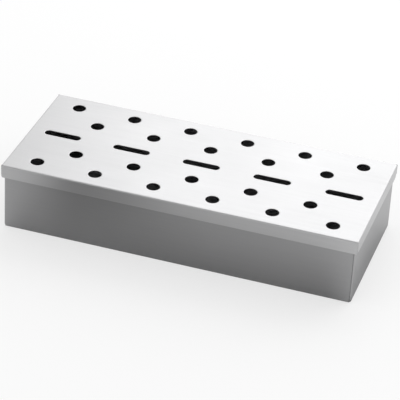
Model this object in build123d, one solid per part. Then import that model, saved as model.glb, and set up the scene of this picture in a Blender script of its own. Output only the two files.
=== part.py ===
from build123d import *
import os

# Grill smoker box: a tray folded from stainless sheet, under a perforated cap lid folded from the same
# sheet, which lifts off. Millimetres. +X runs along the box, -Y is its front and +Z is up. The tray
# stands on z = 0 and the box is centred on the origin.

# Sheet
sheet = 0.7
inside_bend = 0.1
seam_gap = 0.2

# Lid
lid_length = 210.0
lid_width = 90.0
skirt_depth = 8.0
skirt_corner_radius = 3.0

# Round vents, in two outer rows and two inner rows staggered by half a pitch
vent_diameter = 7.8
vent_pitch = 35.0
vents_per_outer_row = 6
outer_row_offset = 33.5
inner_row_offset = 17.5

# Vent slots along the middle of the lid
slot_count = 5
slot_pitch = 42.5
slot_length = 22.0
slot_width = 5.0

# Tray
tray_height = 40.5
rim_clearance = 0.4
tab_length = 14.0
tab_drop = 1.0
tab_corner_radius = 2.5
tab_gap = 0.1
weld_diameter = 3.0
welds_per_tab = 2

# Worked out from the sizes above
outside_bend = inside_bend + sheet
tray_length = lid_length - 2 * (outside_bend + rim_clearance)
tray_width = lid_width - 2 * (outside_bend + rim_clearance)
vents_per_inner_row = vents_per_outer_row - 1


def fold_section(rise):
    """Section across a fold, drawn outwards from the edge of the flat: the bend, then a flange up to rise."""
    bend_centre = (0, outside_bend)
    with BuildSketch() as section:
        with BuildLine():
            CenterArc(bend_centre, outside_bend, -90, 90)
            Polyline(
                (outside_bend, outside_bend),
                (outside_bend, rise),
                (inside_bend, rise),
                (inside_bend, outside_bend),
            )
            CenterArc(bend_centre, inside_bend, -90, 90)
            Line((0, sheet), (0, 0))
        make_face()
    return section.sketch


def folded_flange(start, outwards, along, rise, length):
    """A fold and its flange, swept to both sides of start by half of length."""
    plane = Plane(origin=start, x_dir=outwards, z_dir=along)
    return extrude(plane * fold_section(rise), amount=length / 2, both=True)


def on_both_sides(piece, middle):
    """The piece and its mirror image across a plane."""
    return piece + mirror(piece, about=middle)


def perforated_top():
    """The lid's flat, with the round vents and the slots punched through it."""
    flat = Rectangle(lid_length - 2 * outside_bend, lid_width - 2 * outside_bend)
    vent = Circle(vent_diameter / 2)
    flat -= GridLocations(vent_pitch, 2 * outer_row_offset, vents_per_outer_row, 2) * vent
    flat -= GridLocations(vent_pitch, 2 * inner_row_offset, vents_per_inner_row, 2) * vent
    flat -= GridLocations(slot_pitch, 0, slot_count, 1) * SlotOverall(slot_length, slot_width)
    return Pos(0, 0, tray_height) * extrude(flat, amount=sheet)


def rounded_below(skirt, through):
    """A skirt with its two lower corners rounded, where through is the axis that crosses the sheet."""
    corners = skirt.edges().filter_by(through).group_by(Axis.Z)[0]
    ends = corners.filter_by(lambda edge: abs(edge.length - sheet) < sheet / 2)
    return fillet(ends, skirt_corner_radius)


def long_skirt():
    """The front skirt, as long as the lid."""
    lid_top = tray_height + sheet
    start = (0, outside_bend - lid_width / 2, lid_top)
    skirt = folded_flange(start, (0, -1, 0), (1, 0, 0), skirt_depth, lid_length)
    return rounded_below(skirt, Axis.Y)


def end_skirt():
    """The right-hand skirt, which fits between the long ones."""
    lid_top = tray_height + sheet
    start = (lid_length / 2 - outside_bend, 0, lid_top)
    between = lid_width - 2 * (outside_bend + seam_gap)
    skirt = folded_flange(start, (1, 0, 0), (0, 1, 0), skirt_depth, between)
    return rounded_below(skirt, Axis.X)


def lid():
    """The cap lid: one blank, folded down on four sides and open at its corners."""
    skirts = on_both_sides(long_skirt(), Plane.XZ) + on_both_sides(end_skirt(), Plane.YZ)
    return perforated_top() + skirts


def tray_floor():
    """The tray's flat, up to the start of its four folds."""
    flat = Rectangle(tray_length - 2 * outside_bend, tray_width - 2 * outside_bend)
    return extrude(flat, amount=sheet)


def long_wall():
    """The front wall, which stops just short of the bends at the corners of the end walls."""
    start = (0, outside_bend - tray_width / 2, 0)
    between = tray_length - 2 * (outside_bend + seam_gap)
    return folded_flange(start, (0, -1, 0), (-1, 0, 0), tray_height, between)


def end_wall_span():
    """Width of the end wall's flat, between the folds of its two tabs."""
    return tray_width - 2 * (sheet + tab_gap + outside_bend)


def end_wall():
    """The right-hand wall, up to the folds of its tabs."""
    start = (tray_length / 2 - outside_bend, 0, 0)
    return folded_flange(start, (1, 0, 0), (0, -1, 0), tray_height, end_wall_span())


def corner_tab():
    """The tab at the front right: folded off the end wall and tucked in behind the front wall."""
    tab_bottom = outside_bend + seam_gap
    tab_height = tray_height - tab_drop - tab_bottom
    start = (tray_length / 2, -end_wall_span() / 2, tab_bottom + tab_height / 2)
    tab = folded_flange(start, (0, -1, 0), (0, 0, -1), tab_length, tab_height)
    free_corners = tab.edges().filter_by(Axis.Y).group_by(Axis.X)[0]
    return fillet(free_corners, tab_corner_radius) + tab_welds(tab_bottom, tab_height)


def tab_welds(tab_bottom, tab_height):
    """Spot welds that bridge the gap between a tab and the front wall."""
    tab_middle = (tray_length / 2 - tab_length / 2, tab_bottom + tab_height / 2)
    joint_y = tab_gap / 2 + sheet - tray_width / 2
    joint = Plane(origin=(tab_middle[0], joint_y, tab_middle[1]), x_dir=(1, 0, 0), z_dir=(0, -1, 0))
    nugget = Cylinder(weld_diameter / 2, sheet + tab_gap)
    spacing = tab_height / welds_per_tab
    return joint * GridLocations(0, spacing, 1, welds_per_tab) * nugget


def tray():
    """The open tray: one blank, folded up on four sides, with its corners closed by welded tabs."""
    walls = on_both_sides(long_wall(), Plane.XZ) + on_both_sides(end_wall(), Plane.YZ)
    tabs = on_both_sides(on_both_sides(corner_tab(), Plane.XZ), Plane.YZ)
    return tray_floor() + walls + tabs


os.makedirs("parts", exist_ok=True)
export_step(tray(), "parts/tray.step")
export_step(lid(), "parts/lid.step")
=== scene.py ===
"""Looks of the grill smoker box: a tray folded from stainless sheet, under a perforated cap lid.

Lengths are in metres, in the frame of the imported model: +X runs along the box, -Y is its front, +Z is up
and the tray stands on z = 0.
"""

import logging
import math
from collections.abc import Callable
from dataclasses import dataclass, field
from enum import Enum

import bmesh
import bpy
from mathutils import Matrix, Vector


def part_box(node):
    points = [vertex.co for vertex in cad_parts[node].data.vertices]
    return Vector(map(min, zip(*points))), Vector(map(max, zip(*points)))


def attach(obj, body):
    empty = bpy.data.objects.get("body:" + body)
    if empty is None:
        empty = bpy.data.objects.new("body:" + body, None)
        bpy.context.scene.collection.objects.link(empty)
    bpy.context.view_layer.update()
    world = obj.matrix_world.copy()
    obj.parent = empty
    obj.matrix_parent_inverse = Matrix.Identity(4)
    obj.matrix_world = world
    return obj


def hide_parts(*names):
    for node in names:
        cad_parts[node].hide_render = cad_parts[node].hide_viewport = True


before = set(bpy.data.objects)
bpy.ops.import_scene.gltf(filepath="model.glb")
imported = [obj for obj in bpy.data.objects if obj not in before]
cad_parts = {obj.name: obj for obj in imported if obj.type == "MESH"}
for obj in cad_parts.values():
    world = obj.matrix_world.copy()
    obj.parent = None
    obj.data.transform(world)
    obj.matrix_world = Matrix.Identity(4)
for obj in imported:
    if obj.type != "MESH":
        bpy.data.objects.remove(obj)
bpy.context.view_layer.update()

log = logging.getLogger("smoker_box")

MM = 0.001
SAME_PLACE = 0.01 * MM
MERGE_DISTANCE = 0.001 * MM
GRAIN_MAP = "blank"
QUARTER_TURN = math.pi / 2
ROUND_PROFILE = 0.5
WHITE = (1.0, 1.0, 1.0, 1.0)


class FoldWay(Enum):
    """Which way the flanges of a blank are folded."""

    UP = 1
    DOWN = -1


class Side(Enum):
    """The four sides of a blank, each by its outward direction."""

    FRONT = (0, -1, 0)
    BACK = (0, 1, 0)
    RIGHT = (1, 0, 0)
    LEFT = (-1, 0, 0)

    @property
    def outwards(self) -> Vector:
        """Unit vector that points away from the box on this side."""
        return Vector(self.value)

    @property
    def is_long(self) -> bool:
        """Whether this is the front or the back."""
        return self in (Side.FRONT, Side.BACK)


class Region(Enum):
    """The parts of a folded blank that unfold in their own way."""

    FLAT = "flat"
    LONG_FLANGE = "long flange"
    END_FLANGE = "end flange"
    TAB = "tab"


class Element(Enum):
    """What is selected in an open mesh, by its select mode and the mesh's list of such elements."""

    VERTEX = ("VERT", "verts")
    EDGE = ("EDGE", "edges")
    FACE = ("FACE", "faces")


# Selecting and editing


def start_plane(name: str) -> bpy.types.Object:
    """Add a plane of a metre square at the origin and open its mesh.

    Args:
        name: Name of the object and of its mesh.

    Returns:
        The object, with its mesh open.
    """
    bpy.ops.object.select_all(action="DESELECT")
    bpy.ops.mesh.primitive_plane_add(size=1, enter_editmode=True)
    plane = bpy.context.object
    plane.name = name
    plane.data.name = name
    return plane


def stop_editing() -> None:
    """Close the mesh that is being edited."""
    bpy.ops.object.mode_set(mode="OBJECT")


def select_elements(piece: bpy.types.Object, element: Element, wanted: Callable[..., bool]) -> None:
    """Select elements of the open mesh and nothing else.

    Args:
        piece: The object whose mesh is open.
        element: What is selected.
        wanted: Says whether one of these elements is selected.
    """
    mode, elements = element.value
    bpy.ops.mesh.select_mode(type=mode)
    bpy.ops.mesh.select_all(action="DESELECT")
    mesh = bmesh.from_edit_mesh(piece.data)
    for one in getattr(mesh, elements):
        if wanted(one):
            one.select_set(True)
    mesh.select_flush_mode()
    bmesh.update_edit_mesh(piece.data)


def select_vertices(piece: bpy.types.Object, chosen: Callable[[Vector], bool]) -> None:
    """Select the vertices of the open mesh whose place is chosen."""
    select_elements(piece, Element.VERTEX, lambda vertex: chosen(vertex.co))


def select_edges(piece: bpy.types.Object, chosen: Callable[[Vector, Vector], bool]) -> None:
    """Select the edges of the open mesh for which the places of their two ends are chosen."""
    select_elements(piece, Element.EDGE, lambda edge: chosen(*(end.co for end in edge.verts)))


def select_faces(piece: bpy.types.Object, chosen: Callable[[Vector], bool]) -> None:
    """Select the faces of the open mesh for which the place of their middle is chosen."""
    select_elements(piece, Element.FACE, lambda face: chosen(face.calc_center_median()))


def both(first: float, second: float, wanted: float) -> bool:
    """Whether two numbers are both the wanted one, within what counts as the same place."""
    return abs(first - wanted) < SAME_PLACE and abs(second - wanted) < SAME_PLACE


def apply_modifier(piece: bpy.types.Object, kind: str, **settings: object) -> None:
    """Add a modifier with its settings and apply it.

    Args:
        piece: The object that gets the modifier.
        kind: Type of the modifier, as Blender names it.
        **settings: Values of the modifier's properties.
    """
    bpy.ops.object.select_all(action="DESELECT")
    piece.select_set(True)
    bpy.context.view_layer.objects.active = piece
    modifier = piece.modifiers.new(name=kind.title(), type=kind)
    for name, value in settings.items():
        setattr(modifier, name, value)
    bpy.ops.object.modifier_apply(modifier=modifier.name)


# Nodes


Inputs = dict[str | int, object]


def set_inputs(node: bpy.types.Node, inputs: Inputs) -> None:
    """Set inputs of a node, each to a value of its own or to what an output of another node carries.

    Args:
        node: The node.
        inputs: The value or the output for each of these inputs, by the input's name or number.
    """
    for name, given in inputs.items():
        if isinstance(given, bpy.types.NodeSocket):
            node.id_data.links.new(given, node.inputs[name])
        else:
            node.inputs[name].default_value = given


def add_node(
    tree: bpy.types.NodeTree, kind: str, inputs: Inputs | None = None, **settings: object
) -> bpy.types.Node:
    """Add a node to a material or to the world.

    Args:
        tree: The nodes of the material or of the world.
        kind: Type of the node, as Blender names it after the word ShaderNode.
        inputs: The value or the output for each input that is set.
        **settings: Values of the node's properties.

    Returns:
        The new node.
    """
    node = tree.nodes.new("ShaderNode" + kind)
    for name, value in settings.items():
        setattr(node, name, value)
    set_inputs(node, inputs or {})
    return node


def start_material(name: str, inputs: Inputs) -> tuple[bpy.types.Material, bpy.types.Node]:
    """Start a material.

    Args:
        name: Name of the material.
        inputs: Values for inputs of its shader.

    Returns:
        The material and its shader.
    """
    made = bpy.data.materials.new(name)
    made.use_nodes = True
    shader = made.node_tree.nodes["Principled BSDF"]
    set_inputs(shader, inputs)
    return made, shader


def start_matt(name: str) -> tuple[bpy.types.Material, bpy.types.Node]:
    """Start a material for the studio that has no gloss."""
    return start_material(name, {"Roughness": 1.0, "Specular IOR Level": 0.0})


def object_place(tree: bpy.types.NodeTree) -> bpy.types.NodeSocket:
    """The output that carries a place on the object."""
    return add_node(tree, "TexCoord").outputs["Object"]


def seen_directly(tree: bpy.types.NodeTree) -> bpy.types.NodeSocket:
    """Tell what the camera, the metal and any glass see from what only gives light.

    Args:
        tree: The nodes of a material or of the world.

    Returns:
        The output that carries 1 where something is seen and 0 where it gives light.
    """
    path = add_node(tree, "LightPath")
    seen = path.outputs["Is Camera Ray"]
    for other in ("Is Glossy Ray", "Is Transmission Ray"):
        either = add_node(tree, "Math", {0: seen, 1: path.outputs[other]}, operation="MAXIMUM")
        seen = either.outputs["Value"]
    return seen


# Finishes


@dataclass(frozen=True)
class BrushedSteel:
    """Stainless sheet with the fine parallel scratches of a brushed finish, which run along the blank.

    The scratches lie on the piece's own map of the unfolded blank, so they turn down with each fold.
    """

    name: str
    colour: tuple[float, float, float]
    roughness: float
    roughness_spread: float = 0.10
    across_stretch: float = 0.7
    across_turn: float = 0.25
    scratch_length: float = 30 * MM
    scratch_width: float = 0.16 * MM
    scratch_depth: float = 0.002 * MM
    scratch_faint: float = 0.3
    scratch_strong: float = 0.7
    band_length: float = 120 * MM
    band_width: float = 1.6 * MM
    band_contrast: float = 0.03
    streak_detail: float = 3.0
    streak_roughness: float = 0.6
    handling_size: float = 45 * MM
    handling_detail: float = 2.0
    handling_spread: float = 0.03

    def material(self) -> bpy.types.Material:
        """Build the material.

        Returns:
            A material that a piece with the map of its blank can wear.
        """
        gloss = {
            "Metallic": 1.0,
            "Anisotropic": self.across_stretch,
            "Anisotropic Rotation": self.across_turn,
        }
        made, shader = start_material(self.name, gloss)
        tree = made.node_tree
        scratches = self.streaks(tree, self.scratch_length, self.scratch_width)
        bands = self.streaks(tree, self.band_length, self.band_width)
        dark = self.shade(1 - self.band_contrast)
        light = self.shade(1 + self.band_contrast)
        tint = add_node(tree, "Mix", {"Factor": bands, "A": dark, "B": light}, data_type="RGBA")
        relief = add_node(tree, "Bump", {"Height": scratches, "Distance": self.scratch_depth})
        grain = add_node(tree, "Tangent", direction_type="UV_MAP", uv_map=GRAIN_MAP)
        set_inputs(
            shader,
            {
                "Base Color": tint.outputs["Result"],
                "Roughness": self.roughness_of(tree, scratches),
                "Normal": relief.outputs["Normal"],
                "Tangent": grain.outputs["Tangent"],
            },
        )
        return made

    def shade(self, share: float) -> tuple[float, float, float, float]:
        """The steel's colour, lightened or darkened by a share."""
        return (*(min(1.0, channel * share) for channel in self.colour), 1.0)

    def streaks(self, tree: bpy.types.NodeTree, length: float, width: float) -> bpy.types.NodeSocket:
        """Add noise that is drawn out along the blank.

        Args:
            tree: The nodes of the material.
            length: Length of a streak.
            width: Width of a streak.

        Returns:
            The output that carries the noise, from 0 to 1.
        """
        blank = add_node(tree, "UVMap", uv_map=GRAIN_MAP)
        drawn_out = add_node(
            tree, "Mapping", {"Vector": blank.outputs["UV"], "Scale": (1 / length, 1 / width, 1)}
        )
        noise = add_node(
            tree,
            "TexNoise",
            {
                "Vector": drawn_out.outputs["Vector"],
                "Scale": 1.0,
                "Detail": self.streak_detail,
                "Roughness": self.streak_roughness,
            },
            noise_dimensions="2D",
        )
        return noise.outputs["Fac"]

    def roughness_of(
        self, tree: bpy.types.NodeTree, scratches: bpy.types.NodeSocket
    ) -> bpy.types.NodeSocket:
        """Vary the roughness with the scratches, and a little where the sheet was handled.

        Args:
            tree: The nodes of the material.
            scratches: The noise of the fine scratches.

        Returns:
            The output that carries the roughness.
        """
        fine = add_node(
            tree,
            "MapRange",
            {
                "Value": scratches,
                "From Min": self.scratch_faint,
                "From Max": self.scratch_strong,
                "To Min": self.roughness - self.roughness_spread / 2,
                "To Max": self.roughness + self.roughness_spread / 2,
            },
        )
        handled = add_node(
            tree,
            "TexNoise",
            {
                "Vector": object_place(tree),
                "Scale": 1 / self.handling_size,
                "Detail": self.handling_detail,
            },
        )
        coarse = add_node(
            tree,
            "MapRange",
            {
                "Value": handled.outputs["Fac"],
                "To Min": -self.handling_spread,
                "To Max": self.handling_spread,
            },
        )
        fine_and_coarse = {0: fine.outputs["Result"], 1: coarse.outputs["Result"]}
        return add_node(tree, "Math", fine_and_coarse, operation="ADD").outputs["Value"]


@dataclass(frozen=True)
class CutSteel:
    """The bare edge of the sheet where it was sheared or punched: duller, with marks of the tool."""

    name: str
    colour: tuple[float, float, float]
    roughness: float
    roughness_spread: float = 0.1
    dark_share: float = 0.8
    mark_size: float = 0.12 * MM
    mark_detail: float = 2.0
    mark_depth: float = 0.01 * MM

    def material(self) -> bpy.types.Material:
        """Build the material.

        Returns:
            A material for the edges of a sheet.
        """
        made, shader = start_material(self.name, {"Metallic": 1.0})
        tree = made.node_tree
        noise = add_node(
            tree,
            "TexNoise",
            {"Vector": object_place(tree), "Scale": 1 / self.mark_size, "Detail": self.mark_detail},
        )
        marks = noise.outputs["Fac"]
        dark = (*(self.dark_share * channel for channel in self.colour), 1.0)
        light = (*self.colour, 1.0)
        tint = add_node(tree, "Mix", {"Factor": marks, "A": dark, "B": light}, data_type="RGBA")
        wear = add_node(
            tree,
            "MapRange",
            {
                "Value": marks,
                "To Min": self.roughness - self.roughness_spread,
                "To Max": self.roughness + self.roughness_spread,
            },
        )
        relief = add_node(tree, "Bump", {"Height": marks, "Distance": self.mark_depth})
        set_inputs(
            shader,
            {
                "Base Color": tint.outputs["Result"],
                "Roughness": wear.outputs["Result"],
                "Normal": relief.outputs["Normal"],
            },
        )
        return made


@dataclass(frozen=True)
class PaleGround:
    """The plain pale floor of the studio, which keeps the box's shadow and is white further off."""

    name: str
    grey: float
    white_beside: float
    beside: float = 0.15
    far_off: float = 0.7

    def material(self) -> bpy.types.Material:
        """Build the material.

        Returns:
            A matt material that turns to plain white away from the box.
        """
        made, shader = start_matt(self.name)
        set_inputs(shader, {"Base Color": (self.grey, self.grey, self.grey, 1.0)})
        tree = made.node_tree
        distance = add_node(tree, "VectorMath", {"Vector": object_place(tree)}, operation="LENGTH")
        whiteness = add_node(
            tree,
            "MapRange",
            {
                "Value": distance.outputs["Value"],
                "From Min": self.beside,
                "From Max": self.far_off,
                "To Min": self.white_beside,
                "To Max": 1.0,
            },
            interpolation_type="SMOOTHSTEP",
        )
        shown = {0: whiteness.outputs["Result"], 1: seen_directly(tree)}
        share = add_node(tree, "Math", shown, operation="MULTIPLY").outputs["Value"]
        white = add_node(tree, "Emission").outputs["Emission"]
        mixed = add_node(tree, "MixShader", {"Fac": share, 1: shader.outputs["BSDF"], 2: white})
        set_inputs(tree.nodes["Material Output"], {"Surface": mixed.outputs["Shader"]})
        return made


@dataclass(frozen=True)
class GreyCard:
    """A matt card whose grey changes along or across the box, by the greys at a few places.

    The greys can lean, so that one that starts at the foot of the front wall runs off to the left.
    """

    name: str
    greys: tuple[tuple[float, float], ...]
    across: bool = False
    lean: float = 0.0
    foot: float = 0.0

    def material(self) -> bpy.types.Material:
        """Build the material.

        Returns:
            A matt material.
        """
        made, shader = start_matt(self.name)
        tree = made.node_tree
        start = self.greys[0][0]
        stretch = self.greys[-1][0] - start
        direction = (0.0, 1.0, 0.0) if self.across else (1.0, -self.lean, 0.0)
        reach = add_node(tree, "VectorMath", {0: object_place(tree), 1: direction}, operation="DOT_PRODUCT")
        share = add_node(
            tree,
            "MapRange",
            {
                "Value": reach.outputs["Value"],
                "From Min": start - self.lean * self.foot,
                "From Max": start - self.lean * self.foot + stretch,
            },
        )
        ramp = add_node(tree, "ValToRGB", {"Fac": share.outputs["Result"]})
        steps = ramp.color_ramp.elements
        for at, _ in self.greys[1:-1]:
            steps.new((at - start) / stretch)
        for step, (at, grey) in zip(steps, self.greys):
            step.color = (grey, grey, grey, 1.0)
        set_inputs(shader, {"Base Color": ramp.outputs["Color"]})
        return made


# Sheet metal


@dataclass(frozen=True)
class SheetStock:
    """The stainless sheet that both pieces are folded from."""

    thickness: float = 0.7 * MM
    inside_bend: float = 0.1 * MM
    bend_steps: int = 10
    edge_break: float = 0.05 * MM
    edge_break_steps: int = 2
    sharp_angle: float = math.radians(50)
    flat_face_weight: int = 100

    @property
    def outside_bend(self) -> float:
        """Radius of a fold on its outside."""
        return self.inside_bend + self.thickness


@dataclass
class Blank:
    """One sheet on the bench, which is laid out, punched, folded and thickened step by step.

    The mesh starts as the outside face of the sheet alone.
    """

    name: str
    stock: SheetStock
    length: float
    width: float
    flat_at: float
    way: FoldWay
    long_span: float
    end_span: float
    piece: bpy.types.Object = field(init=False)

    @property
    def end_fold(self) -> float:
        """Distance from the middle of the box to the start of the folds at its ends."""
        return self.length / 2 - self.stock.outside_bend

    @property
    def long_fold(self) -> float:
        """Distance from the middle of the box to the start of the folds at its front and back."""
        return self.width / 2 - self.stock.outside_bend

    def lay_out(self) -> None:
        """Draw the outline of the flat, with the fold lines of the front and back."""
        self.piece = start_plane(self.name)
        reach = max(self.long_span, 2 * self.end_fold)
        bpy.ops.transform.resize(value=(reach, 2 * self.long_fold, 1))
        bpy.ops.transform.translate(value=(0, 0, self.flat_at))
        self.cut_both_sides(self.end_fold, Vector((1, 0, 0)))
        self.cut_both_sides(self.long_span / 2, Vector((1, 0, 0)))
        bpy.ops.mesh.select_all(action="SELECT")
        bpy.ops.mesh.delete(type="ONLY_FACE")
        select_edges(self.piece, lambda a, b: not self.on_outline(a, b))
        bpy.ops.mesh.delete(type="EDGE")

    def cut_both_sides(self, place: float, across: Vector) -> None:
        """Cut the open mesh along two parallel lines.

        Args:
            place: Distance of both lines from the middle.
            across: Direction from one line to the other.
        """
        for cut in (place * across, -place * across):
            bpy.ops.mesh.select_all(action="SELECT")
            bpy.ops.mesh.bisect(plane_co=cut, plane_no=across)

    def on_outline(self, a: Vector, b: Vector) -> bool:
        """Whether the edge from a to b lies on the outline of the flat or on a long fold line."""
        on_end = both(abs(a.x), abs(b.x), self.end_fold) and a.x * b.x > 0
        on_long = both(abs(a.y), abs(b.y), self.long_fold) and a.y * b.y > 0
        return on_end or on_long

    def punch_round(self, x: float, y: float, diameter: float, steps: int) -> None:
        """Draw a round hole on the flat.

        Args:
            x: Place of the hole along the box.
            y: Place of the hole across the box.
            diameter: Diameter of the hole.
            steps: Number of sides that stand for the circle.
        """
        bpy.ops.mesh.select_all(action="DESELECT")
        bpy.ops.mesh.primitive_circle_add(
            vertices=steps, radius=diameter / 2, fill_type="NOTHING", location=(x, y, self.flat_at)
        )

    def punch_slot(self, x: float, length: float, width: float, steps: int) -> None:
        """Draw a slot with round ends on the middle line of the flat.

        Args:
            x: Place of the slot along the box.
            length: Length of the slot over its round ends.
            width: Width of the slot.
            steps: Number of sides that stand for its two round ends.
        """
        bpy.ops.mesh.select_all(action="DESELECT")
        bpy.ops.mesh.primitive_circle_add(
            vertices=steps,
            radius=width / 2,
            fill_type="NOTHING",
            location=(x, 0, self.flat_at),
            rotation=(0, 0, math.pi / steps),
        )
        reach = (length - width) / 2
        for way in (1, -1):
            select_vertices(self.piece, lambda at: self.in_slot_half(at, x, width, way))
            bpy.ops.transform.translate(value=(way * reach, 0, 0))

    def in_slot_half(self, at: Vector, x: float, width: float, way: int) -> bool:
        """Whether a vertex belongs to one half of the circle that a slot at x starts from."""
        return abs(at.y) < width and 0 < way * (at.x - x) < width

    def fill_flat(self) -> None:
        """Turn the outline of the flat into a face, with its holes left open."""
        self.select_flat_outline()
        bpy.ops.mesh.fill(use_beauty=True)

    def frame_holes(self, border: float) -> None:
        """Set a narrow band of faces round each hole, and along the outline of the flat.

        Args:
            border: Width of the band.
        """
        bpy.ops.mesh.select_all(action="SELECT")
        bpy.ops.mesh.inset(thickness=border, depth=0, use_boundary=True, use_even_offset=True)

    def mark_end_folds(self) -> None:
        """Cut the flat in line with both ends of the folds at its ends, which stop short of its corners."""
        self.cut_both_sides(self.end_span / 2, Vector((0, 1, 0)))

    def select_flat_outline(self) -> None:
        """Select all edges but the ends of the long fold lines that stick out past the flat."""
        reach = self.end_fold + SAME_PLACE
        select_edges(self.piece, lambda a, b: max(abs(a.x), abs(b.x)) < reach)

    def fold(self, side: Side, depth: float) -> None:
        """Fold one side of the blank and give it a flange.

        Args:
            side: The side that is folded.
            depth: Distance from the outside face of the flat to the free edge of the flange.
        """
        outwards = side.outwards
        start = self.long_fold if side.is_long else self.end_fold
        bend = self.stock.outside_bend
        rise = Vector((0, 0, self.way.value))
        select_edges(self.piece, lambda a, b: self.on_fold_line(a, b, side))
        bpy.ops.mesh.spin(
            steps=self.stock.bend_steps,
            angle=QUARTER_TURN,
            center=outwards * start + Vector((0, 0, self.flat_at)) + rise * bend,
            axis=rise.cross(outwards),
        )
        top = self.flat_at + self.way.value * bend
        select_edges(
            self.piece,
            lambda a, b: both(a.z, b.z, top) and both(a.dot(outwards), b.dot(outwards), start + bend),
        )
        bpy.ops.mesh.extrude_region_move(TRANSFORM_OT_translate={"value": rise * (depth - bend)})

    def on_fold_line(self, a: Vector, b: Vector, side: Side) -> bool:
        """Whether the edge from a to b is part of the fold line of a side."""
        outwards = side.outwards
        if not both(a.z, b.z, self.flat_at):
            return False
        if side.is_long:
            within = max(abs(a.x), abs(b.x)) < self.long_span / 2 + SAME_PLACE
            return within and both(a.dot(outwards), b.dot(outwards), self.long_fold)
        within = max(abs(a.y), abs(b.y)) < self.end_span / 2 + SAME_PLACE
        return within and both(a.dot(outwards), b.dot(outwards), self.end_fold)

    def round_corners(self, chosen: Callable[[Vector], bool], radius: float, steps: int) -> None:
        """Round free corners of a flange.

        Args:
            chosen: Says whether the corner at a place is rounded.
            radius: Radius of the rounding.
            steps: Number of sides that stand for the rounding.
        """
        select_vertices(self.piece, chosen)
        bpy.ops.mesh.bevel(
            offset=radius,
            offset_type="OFFSET",
            segments=steps,
            profile=ROUND_PROFILE,
            affect="VERTICES",
        )

    def face_outwards(self) -> None:
        """Turn all faces of the open mesh so that they point away from the box."""
        bpy.ops.mesh.select_all(action="SELECT")
        bpy.ops.mesh.remove_doubles(threshold=MERGE_DISTANCE)
        bpy.ops.mesh.normals_make_consistent(inside=False)
        mesh = bmesh.from_edit_mesh(self.piece.data)
        mesh.faces.ensure_lookup_table()
        flat = max(mesh.faces, key=lambda face: abs(face.normal.z) * face.calc_area())
        if flat.normal.z * self.way.value > 0:
            bpy.ops.mesh.flip_normals()

    def region_of(self, middle: Vector) -> Region:
        """Which part of the blank a face belongs to, by the place of its middle."""
        behind_wall = self.end_span / 2 < abs(middle.y) < self.width / 2 - self.stock.thickness
        if behind_wall and abs(middle.z - self.flat_at) > self.stock.outside_bend:
            return Region.TAB
        if abs(middle.y) > self.long_fold:
            return Region.LONG_FLANGE
        if abs(middle.x) > self.end_fold:
            return Region.END_FLANGE
        return Region.FLAT

    def unfolded(self, past: float, rise: float) -> float:
        """Length along the sheet from the start of a fold to a place on the bend or the flange.

        Args:
            past: Distance of the place from the start of the fold, outwards.
            rise: Distance of the place from the start of the fold, along the flange.

        Returns:
            The length on the outside face.
        """
        bend = self.stock.outside_bend
        if rise >= bend:
            return bend * QUARTER_TURN + rise - bend
        return bend * math.atan2(past, bend - rise)

    def on_blank(self, at: Vector, region: Region) -> tuple[float, float]:
        """Where a place on the folded sheet lies on the blank before it was folded.

        Args:
            at: The place, on the outside face of the sheet.
            region: The part of the blank that it belongs to.

        Returns:
            The places along and across the blank, from its middle.
        """
        rise = abs(at.z - self.flat_at)
        along_end = self.end_fold + self.unfolded(abs(at.x) - self.end_fold, rise)
        if region is Region.FLAT:
            return at.x, at.y
        if region is Region.LONG_FLANGE:
            across = self.long_fold + self.unfolded(abs(at.y) - self.long_fold, rise)
            return at.x, math.copysign(across, at.y)
        if region is Region.END_FLANGE:
            return math.copysign(along_end, at.x), at.y
        turn = self.unfolded(abs(at.y) - self.end_span / 2, self.length / 2 - abs(at.x))
        flat_wall = self.end_fold + self.unfolded(self.stock.outside_bend, rise)
        return math.copysign(flat_wall, at.x), math.copysign(self.end_span / 2 + turn, at.y)

    def map_grain(self) -> None:
        """Give the mesh the map of its unfolded blank, which the brushed grain follows."""
        mesh = self.piece.data
        grain = mesh.uv_layers.new(name=GRAIN_MAP)
        for face in mesh.polygons:
            region = self.region_of(face.center)
            for corner in face.loop_indices:
                at = mesh.vertices[mesh.loops[corner].vertex_index].co
                grain.data[corner].uv = self.on_blank(at, region)

    def thicken(self, outside: BrushedSteel, inside: BrushedSteel, edge: CutSteel) -> None:
        """Give the sheet its thickness, inwards, and its first three finishes.

        Args:
            outside: Finish of the outside face.
            inside: Finish of the inside face.
            edge: Finish of the edges in holes and seams, near black as painted shade.
        """
        for finish in (outside, inside, edge):
            self.piece.data.materials.append(finish.material())
        apply_modifier(
            self.piece,
            "SOLIDIFY",
            thickness=self.stock.thickness,
            offset=-1,
            use_even_offset=True,
            use_rim=True,
            material_offset=1,
            material_offset_rim=2,
        )

    def finish_open_edges(self, finish: CutSteel, chosen: Callable[[Vector], bool]) -> None:
        """Give the open edges a finish of their own, so that only the edges in holes and seams keep the
        near-black painted shade.

        Args:
            finish: Finish of these edges.
            chosen: Says whether an edge with its middle at a place is one of them.
        """
        materials = self.piece.data.materials
        shade_painted_edge = len(materials) - 1
        materials.append(finish.material())
        for face in self.piece.data.polygons:
            if face.material_index == shade_painted_edge and chosen(face.center):
                face.material_index = shade_painted_edge + 1

    def draw_down_rims(self, chosen: Callable[[Vector], bool], radius: float, steps: int) -> None:
        """Round the upper rims of the holes, which the punch drew down on its way through.

        Args:
            chosen: Says whether a place on the outside face belongs to a rim, and not to the outline.
            radius: Radius of the rounding.
            steps: Number of facets that stand for the rounding.
        """
        bpy.ops.object.mode_set(mode="EDIT")
        select_elements(self.piece, Element.EDGE, lambda edge: self.is_rim(edge, chosen))
        bpy.ops.mesh.bevel(
            offset=radius,
            segments=steps,
            profile=ROUND_PROFILE,
            affect="EDGES",
            material=0,
        )
        stop_editing()

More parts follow.
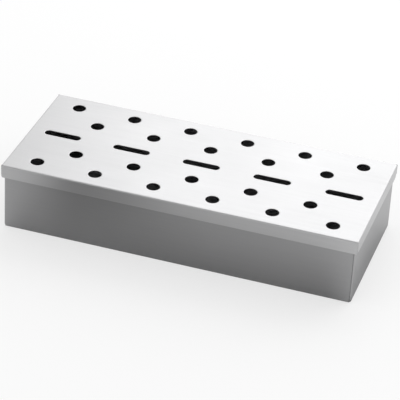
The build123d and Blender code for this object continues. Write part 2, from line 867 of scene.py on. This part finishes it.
    def is_rim(self, edge: bmesh.types.BMEdge, chosen: Callable[[Vector], bool]) -> bool:
        """Whether an edge between two chosen places is a sharp one on the outside face of the flat."""
        a, b = (end.co for end in edge.verts)
        on_face = both(a.z, b.z, self.flat_at) and chosen(a) and chosen(b)
        return on_face and edge.calc_face_angle() > self.stock.sharp_angle

    def break_edges(self) -> None:
        """Take the sharpness off the cut edges."""
        apply_modifier(
            self.piece,
            "BEVEL",
            width=self.stock.edge_break,
            segments=self.stock.edge_break_steps,
            limit_method="ANGLE",
            angle_limit=self.stock.sharp_angle,
            use_clamp_overlap=True,
        )

    def keep_within(self, low: Vector, high: Vector) -> None:
        """Take back the few micrometres by which the broken edges stand proud at the notches.

        Args:
            low: Lowest corner of the piece's box.
            high: Highest corner of the piece's box.
        """
        for vertex in self.piece.data.vertices:
            vertex.co = [min(max(at, least), most) for at, least, most in zip(vertex.co, low, high)]

    def smooth_folds(self) -> None:
        """Shade the folds smoothly and keep the flats flat."""
        bpy.ops.object.shade_smooth()
        apply_modifier(
            self.piece, "WEIGHTED_NORMAL", keep_sharp=True, weight=self.stock.flat_face_weight
        )


def spread(count: int, pitch: float) -> list[float]:
    """Places of equally spaced things, from the middle outwards to both sides.

    Args:
        count: How many there are.
        pitch: Distance from one to the next.

    Returns:
        Their places, lowest first.
    """
    return [(number - (count - 1) / 2) * pitch for number in range(count)]


@dataclass
class FoldedPiece:
    """A piece that is folded from one blank, with the finishes of its two faces and of its edges."""

    stock: SheetStock
    outside: BrushedSteel
    inside: BrushedSteel
    shade_painted_edge: CutSteel
    open_edge: CutSteel

    def make_sheet(self, blank: Blank, on_open_edge: Callable[[Vector], bool]) -> None:
        """Turn the folded outside face into sheet, with its grain and its finishes.

        Args:
            blank: The blank, folded and with its mesh open.
            on_open_edge: Says whether a place on an edge is on an open edge, which gets the plain cut-edge
                finish rather than the painted shade.
        """
        blank.face_outwards()
        stop_editing()
        blank.map_grain()
        blank.thicken(self.outside, self.inside, self.shade_painted_edge)
        blank.finish_open_edges(self.open_edge, on_open_edge)


@dataclass
class Lid(FoldedPiece):
    """The cap lid: a perforated flat with a skirt folded down on each of its four sides."""

    skirt_depth: float = 8 * MM
    skirt_corner_radius: float = 3 * MM
    corner_steps: int = 8
    seam_gap: float = 0.2 * MM
    vent_diameter: float = 7.8 * MM
    vent_pitch: float = 35 * MM
    vents_per_outer_row: int = 6
    outer_row_offset: float = 33.5 * MM
    inner_row_offset: float = 17.5 * MM
    vent_steps: int = 64
    slot_count: int = 5
    slot_pitch: float = 42.5 * MM
    slot_length: float = 22 * MM
    slot_width: float = 5 * MM
    slot_steps: int = 48
    rim_radius: float = 0.22 * MM
    rim_steps: int = 3
    rim_border: float = 0.6 * MM

    def build(self) -> bpy.types.Object:
        """Model the lid and put it in place of the plain one.

        Returns:
            The finished piece.
        """
        low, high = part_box("lid")
        blank = Blank(
            name="cap_lid",
            stock=self.stock,
            length=high.x - low.x,
            width=high.y - low.y,
            flat_at=high.z,
            way=FoldWay.DOWN,
            long_span=high.x - low.x,
            end_span=high.y - low.y - 2 * (self.stock.outside_bend + self.seam_gap),
        )
        blank.lay_out()
        self.punch(blank)
        blank.fill_flat()
        blank.frame_holes(self.rim_border)
        blank.mark_end_folds()
        for side in Side:
            blank.fold(side, self.skirt_depth)
        bottom = high.z - self.skirt_depth
        blank.round_corners(
            lambda at: abs(at.z - bottom) < SAME_PLACE and self.is_skirt_end(at, blank),
            self.skirt_corner_radius,
            self.corner_steps,
        )
        # The skirts' edges are the open ones; the walls of the holes keep the near-black edge finish,
        # painted shade.
        self.make_sheet(blank, lambda at: not self.is_in_flat(at, blank))
        blank.draw_down_rims(lambda at: self.is_in_flat(at, blank), self.rim_radius, self.rim_steps)
        blank.break_edges()
        blank.keep_within(low, high)
        blank.smooth_folds()
        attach(blank.piece, "lid")
        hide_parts("lid")
        return blank.piece

    def punch(self, blank: Blank) -> None:
        """Draw the four rows of round vents and the row of slots.

        Args:
            blank: The lid's blank, laid out and still flat.
        """
        for count, offset in (
            (self.vents_per_outer_row, self.outer_row_offset),
            (self.vents_per_outer_row - 1, self.inner_row_offset),
        ):
            for x in spread(count, self.vent_pitch):
                for y in (-offset, offset):
                    blank.punch_round(x, y, self.vent_diameter, self.vent_steps)
        for x in spread(self.slot_count, self.slot_pitch):
            blank.punch_slot(x, self.slot_length, self.slot_width, self.slot_steps)

    def is_in_flat(self, at: Vector, blank: Blank) -> bool:
        """Whether a place lies inside the outline of the flat, where the holes are."""
        return abs(at.x) < blank.end_fold - SAME_PLACE and abs(at.y) < blank.long_fold - SAME_PLACE

    def is_skirt_end(self, at: Vector, blank: Blank) -> bool:
        """Whether a vertex on the lower edge of a skirt is at one of its two ends."""
        on_long = abs(abs(at.x) - blank.long_span / 2) < SAME_PLACE and abs(at.y) > blank.long_fold
        return on_long or abs(abs(at.y) - blank.end_span / 2) < SAME_PLACE


@dataclass
class Tray(FoldedPiece):
    """The open tray: four walls folded up, with tabs on the end walls spot-welded behind the long ones."""

    weld: CutSteel
    tab_length: float = 14 * MM
    tab_drop: float = 1 * MM
    tab_corner_radius: float = 2.5 * MM
    corner_steps: int = 8
    tab_gap: float = 0.1 * MM
    seam_gap: float = 0.2 * MM
    welds_per_tab: int = 2
    weld_mark_diameter: float = 3.4 * MM
    weld_mark_depth: float = 0.12 * MM
    weld_tip_lift: float = 0.10 * MM
    weld_mark_steps: int = 32

    def build(self) -> bpy.types.Object:
        """Model the tray and put it in place of the plain one.

        Returns:
            The finished piece.
        """
        low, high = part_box("tray")
        height = high.z - low.z
        length = high.x - low.x
        width = high.y - low.y
        blank = Blank(
            name="folded_tray",
            stock=self.stock,
            length=length,
            width=width,
            flat_at=low.z,
            way=FoldWay.UP,
            long_span=length - 2 * (self.stock.outside_bend + self.seam_gap),
            end_span=width - 2 * (self.stock.thickness + self.tab_gap + self.stock.outside_bend),
        )
        blank.lay_out()
        blank.mark_end_folds()
        blank.fill_flat()
        for side in Side:
            blank.fold(side, height)
        tab_bottom = low.z + self.stock.outside_bend + self.seam_gap
        tab_top = high.z - self.tab_drop
        for level in (tab_bottom, tab_top):
            select_faces(blank.piece, lambda at: abs(abs(at.x) - length / 2) < SAME_PLACE)
            bpy.ops.mesh.bisect(plane_co=(0, 0, level), plane_no=(0, 0, 1))
        for end in (1, -1):
            for side in (1, -1):
                self.fold_tab(blank, end, side, tab_bottom, tab_top)
        free_edge = length / 2 - self.tab_length
        blank.round_corners(
            lambda at: abs(abs(at.x) - free_edge) < SAME_PLACE and at.z > tab_bottom - SAME_PLACE,
            self.tab_corner_radius,
            self.corner_steps,
        )
        # Only the rim's edges are open; the cut ends in the corner seams keep the near-black edge finish,
        # painted shade.
        self.make_sheet(blank, lambda at: at.z > high.z - SAME_PLACE)
        blank.break_edges()
        self.press_weld_marks(blank, tab_bottom, tab_top)
        blank.keep_within(low, high)
        blank.smooth_folds()
        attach(blank.piece, "tray")
        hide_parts("tray")
        return blank.piece

    def fold_tab(self, blank: Blank, end: int, side: int, bottom: float, top: float) -> None:
        """Fold one tab off the side of an end wall and tuck it in behind the long wall.

        Args:
            blank: The tray's blank, with its walls up.
            end: 1 for the right-hand wall and -1 for the left-hand one.
            side: 1 for the tab at the back and -1 for the one at the front.
            bottom: Height of the tab's lower edge.
            top: Height of the tab's upper edge.
        """
        wall = end * blank.length / 2
        fold_line = side * blank.end_span / 2
        bend = self.stock.outside_bend
        select_edges(
            blank.piece,
            lambda a, b: both(a.x, b.x, wall)
            and both(a.y, b.y, fold_line)
            and bottom - SAME_PLACE < min(a.z, b.z)
            and max(a.z, b.z) < top + SAME_PLACE,
        )
        bpy.ops.mesh.spin(
            steps=self.stock.bend_steps,
            angle=QUARTER_TURN,
            center=(wall - end * bend, fold_line, 0),
            axis=(0, 0, -end * side),
        )
        bent_back = wall - end * bend
        tucked = fold_line + side * bend
        select_edges(blank.piece, lambda a, b: both(a.x, b.x, bent_back) and both(a.y, b.y, tucked))
        reach = (-end * (self.tab_length - bend), 0, 0)
        bpy.ops.mesh.extrude_region_move(TRANSFORM_OT_translate={"value": reach})

    def press_weld_marks(self, blank: Blank, bottom: float, top: float) -> None:
        """Press the shallow round marks of the spot welds into the tabs, on the inside.

        Args:
            blank: The tray's blank, folded and thickened.
            bottom: Height of the tabs' lower edge.
            top: Height of the tabs' upper edge.
        """
        tab_middle = blank.length / 2 - self.tab_length / 2
        inside_face = blank.end_span / 2 + self.stock.inside_bend - self.weld_tip_lift
        middle = (bottom + top) / 2
        spacing = (top - bottom) / self.welds_per_tab
        tint = self.weld.material()
        for x in (-tab_middle, tab_middle):
            for y in (-inside_face, inside_face):
                for rise in spread(self.welds_per_tab, spacing):
                    self.press_weld_mark(blank, (x, y, middle + rise), tint)

    def press_weld_mark(
        self, blank: Blank, place: tuple[float, float, float], tint: bpy.types.Material
    ) -> None:
        """Press one mark with the domed tip of a welding electrode.

        Args:
            blank: The tray's blank, folded and thickened.
            place: Middle of the tip, just clear of the inside face of a tab.
            tint: The material that the heat leaves in the mark.
        """
        radius = self.weld_mark_diameter / 2
        bpy.ops.object.select_all(action="DESELECT")
        bpy.ops.mesh.primitive_uv_sphere_add(
            segments=self.weld_mark_steps,
            ring_count=self.weld_mark_steps // 2,
            radius=radius,
            location=place,
            scale=(1, (self.weld_mark_depth + self.weld_tip_lift) / radius, 1),
        )
        tip = bpy.context.object
        tip.data.materials.append(tint)
        apply_modifier(
            blank.piece,
            "BOOLEAN",
            object=tip,
            operation="DIFFERENCE",
            solver="EXACT",
            material_mode="TRANSFER",
        )
        bpy.data.objects.remove(tip, do_unlink=True)


# Studio


@dataclass(frozen=True)
class Softbox:
    """A soft lamp: a plain bright rectangle that faces the box."""

    name: str
    place: tuple[float, float, float]
    size: tuple[float, float]
    level: float
    roll: float = 0.0

    def hang(self, aim: Vector) -> None:
        """Hang the softbox.

        Args:
            aim: The point that it faces.
        """
        lamp = bpy.data.lights.new(self.name, "AREA")
        lamp.shape = "RECTANGLE"
        lamp.size, lamp.size_y = self.size
        lamp.energy = self.level * math.pi * self.size[0] * self.size[1]
        softbox = bpy.data.objects.new(self.name, lamp)
        softbox.location = self.place
        facing = (aim - Vector(self.place)).to_track_quat("-Z", "Y").to_matrix()
        softbox.rotation_euler = (facing @ Matrix.Rotation(self.roll, 3, "Z")).to_euler()
        softbox.visible_camera = False
        bpy.context.scene.collection.objects.link(softbox)


def show_only_in_metal(card: bpy.types.Object) -> None:
    """Keep a card of the studio out of the picture, the light and the shadows, but not the metal."""
    card.visible_camera = False
    card.visible_diffuse = False
    card.visible_shadow = False


@dataclass(frozen=True)
class Card:
    """A matt card on the floor beside the box that only the metal shows, in a few greys, which paint shade
    and light into the walls' reflections.
    """

    name: str
    low: tuple[float, float]
    high: tuple[float, float]
    greys: tuple[tuple[float, float], ...]
    across: bool = False
    lean: float = 0.0
    foot: float = -43.8 * MM
    above_floor: float = 0.3 * MM

    def lay(self) -> None:
        """Lay the card in its place."""
        width = self.high[0] - self.low[0]
        depth = self.high[1] - self.low[1]
        card = start_plane(self.name)
        bpy.ops.transform.resize(value=(width, depth, 1))
        bpy.ops.transform.translate(
            value=(self.low[0] + width / 2, self.low[1] + depth / 2, self.above_floor)
        )
        stop_editing()
        face = GreyCard(self.name + "_face", self.greys, self.across, self.lean, self.foot)
        card.data.materials.append(face.material())
        show_only_in_metal(card)


@dataclass(frozen=True)
class Panel:
    """A matt grey panel that stands in front of the box, where only the metal shows it, as painted shade in
    the reflections of the studio's front.
    """

    name: str
    ahead: float
    width: float
    low: float
    high: float
    grey: float

    def stand(self) -> None:
        """Stand the panel in its place."""
        panel = start_plane(self.name)
        bpy.ops.transform.rotate(value=QUARTER_TURN, orient_axis="X", center_override=(0, 0, 0))
        bpy.ops.transform.resize(value=(self.width, 1, self.high - self.low))
        bpy.ops.transform.translate(value=(0, -self.ahead, (self.low + self.high) / 2))
        stop_editing()
        greys = ((-self.width / 2, self.grey), (self.width / 2, self.grey))
        panel.data.materials.append(GreyCard(self.name + "_face", greys).material())
        show_only_in_metal(panel)


@dataclass
class Studio:
    """The floor, the soft lamp, the cards and the camera at the photograph's viewing angle."""

    floor_size: float = 30.0
    floor: PaleGround = PaleGround("floor_matt_white", grey=0.88, white_beside=0.55)
    world_level: float = 0.9
    softbox: Softbox = Softbox(
        "back_softbox",
        place=(0.25, 1.0, 0.75),
        size=(1.6, 1.1),
        level=1.26,
        roll=math.radians(20),
    )
    # The cards' greys are painted reflections: shade of the floor in front of the box, darkest left of the
    # front's middle, lighter towards the ends and towards the back of the right end.
    cards: tuple[Card, ...] = (
        Card(
            "near_card",
            low=(-130 * MM, -86 * MM),
            high=(103 * MM, -41 * MM),
            greys=(
                (-108 * MM, 0.85),
                (-92 * MM, 0.54),
                (-70 * MM, 0.42),
                (-20 * MM, 0.38),
                (90 * MM, 0.38),
                (103 * MM, 0.68),
            ),
            lean=0.31,
        ),
        Card(
            "front_card",
            low=(-280 * MM, -486 * MM),
            high=(110 * MM, -86 * MM),
            greys=(
                (-102 * MM, 0.70),
                (-86 * MM, 0.58),
                (-68 * MM, 0.0),
                (-45 * MM, 0.09),
                (-25 * MM, 0.28),
                (0 * MM, 0.50),
                (25 * MM, 0.66),
                (65 * MM, 0.72),
                (85 * MM, 0.78),
                (102 * MM, 0.90),
            ),
            lean=0.31,
        ),
        Card(
            "end_card",
            low=(103 * MM, -46 * MM),
            high=(128 * MM, 75 * MM),
            greys=(
                (-46 * MM, 0.67),
                (10 * MM, 0.66),
                (26 * MM, 0.73),
                (42 * MM, 0.87),
                (58 * MM, 0.93),
                (75 * MM, 1.00),
            ),
            across=True,
        ),
    )
    panel: Panel = Panel("front_panel", ahead=1.2, width=3.0, low=0.4, high=2.6, grey=0.35)
    lamp_aim: tuple[float, float, float] = (0.0, 0.0, 20 * MM)
    lens: float = 194.83
    sensor: float = 36.0
    azimuth: float = math.radians(16.451)
    elevation: float = math.radians(31.860)
    roll: float = math.radians(3.349)
    aim: tuple[float, float, float] = (1.951 * MM, -4.932 * MM, 20.6 * MM)
    distance: float = 1246.9 * MM
    nearest: float = 0.01
    furthest: float = 100.0

    def build(self) -> None:
        """Set up the whole studio."""
        self.lay_floor()
        self.light_world()
        self.softbox.hang(Vector(self.lamp_aim))
        for card in self.cards:
            card.lay()
        self.panel.stand()
        self.place_camera()

    def lay_floor(self) -> None:
        """Lay the pale floor that the box stands on."""
        bpy.ops.object.select_all(action="DESELECT")
        bpy.ops.mesh.primitive_plane_add(size=self.floor_size)
        floor = bpy.context.object
        floor.name = "floor"
        floor.data.materials.append(self.floor.material())

    def light_world(self) -> None:
        """Fill the studio with an even light from all around."""
        world = bpy.data.worlds.new("studio_world")
        world.use_nodes = True
        tree = world.node_tree
        level = add_node(
            tree,
            "MapRange",
            {"Value": seen_directly(tree), "To Min": self.world_level, "To Max": 1.0},
        )
        set_inputs(tree.nodes["Background"], {"Color": WHITE, "Strength": level.outputs["Result"]})
        bpy.context.scene.world = world

    def place_camera(self) -> None:
        """Place the camera at the photograph's viewing angle."""
        lens = bpy.data.cameras.new("photo_camera")
        lens.lens = self.lens
        lens.sensor_width = self.sensor
        lens.clip_start = self.nearest
        lens.clip_end = self.furthest
        camera = bpy.data.objects.new("photo_camera", lens)
        level = math.cos(self.elevation)
        across = -math.sin(self.azimuth) * level
        inwards = math.cos(self.azimuth) * level
        forwards = Vector((across, inwards, -math.sin(self.elevation)))
        level_right = forwards.cross(Vector((0, 0, 1))).normalized()
        level_up = level_right.cross(forwards)
        right = math.cos(self.roll) * level_right + math.sin(self.roll) * level_up
        up = right.cross(forwards)
        turn = Matrix((right, up, -forwards)).transposed().to_4x4()
        camera.matrix_world = Matrix.Translation(Vector(self.aim) - forwards * self.distance) @ turn
        bpy.context.scene.collection.objects.link(camera)
        bpy.context.scene.camera = camera


def main() -> None:
    """Build the lid, the tray and the studio."""
    logging.basicConfig(level=logging.INFO, format="%(message)s")
    bpy.context.scene.view_settings.view_transform = "Standard"
    stock = SheetStock()
    # The edges in the holes and in the tray's corner seams are near black: painted shade of the dark
    # hollows behind them.
    shade_painted_edge = CutSteel("painted_shade_cut_edge", colour=(0.16, 0.16, 0.165), roughness=0.45)
    open_edge = CutSteel("bright_cut_edge", colour=(0.5, 0.5, 0.51), roughness=0.4)
    dull = BrushedSteel("dull_steel_inside", colour=(0.45, 0.45, 0.46), roughness=0.5)
    weld = CutSteel("heat_tinted_weld", colour=(0.19, 0.165, 0.15), roughness=0.35)
    lid_face = BrushedSteel("brushed_steel_lid", colour=(0.57, 0.57, 0.575), roughness=0.40)
    tray_face = BrushedSteel("brushed_steel_tray", colour=(0.43, 0.43, 0.435), roughness=0.42)
    for part in (
        Lid(stock, lid_face, dull, shade_painted_edge, open_edge),
        Tray(stock, tray_face, dull, shade_painted_edge, open_edge, weld),
    ):
        piece = part.build()
        log.info("%s: %d faces", piece.name, len(piece.data.polygons))
    Studio().build()
    log.info("studio is set up")


if __name__ == "__main__":
    main()
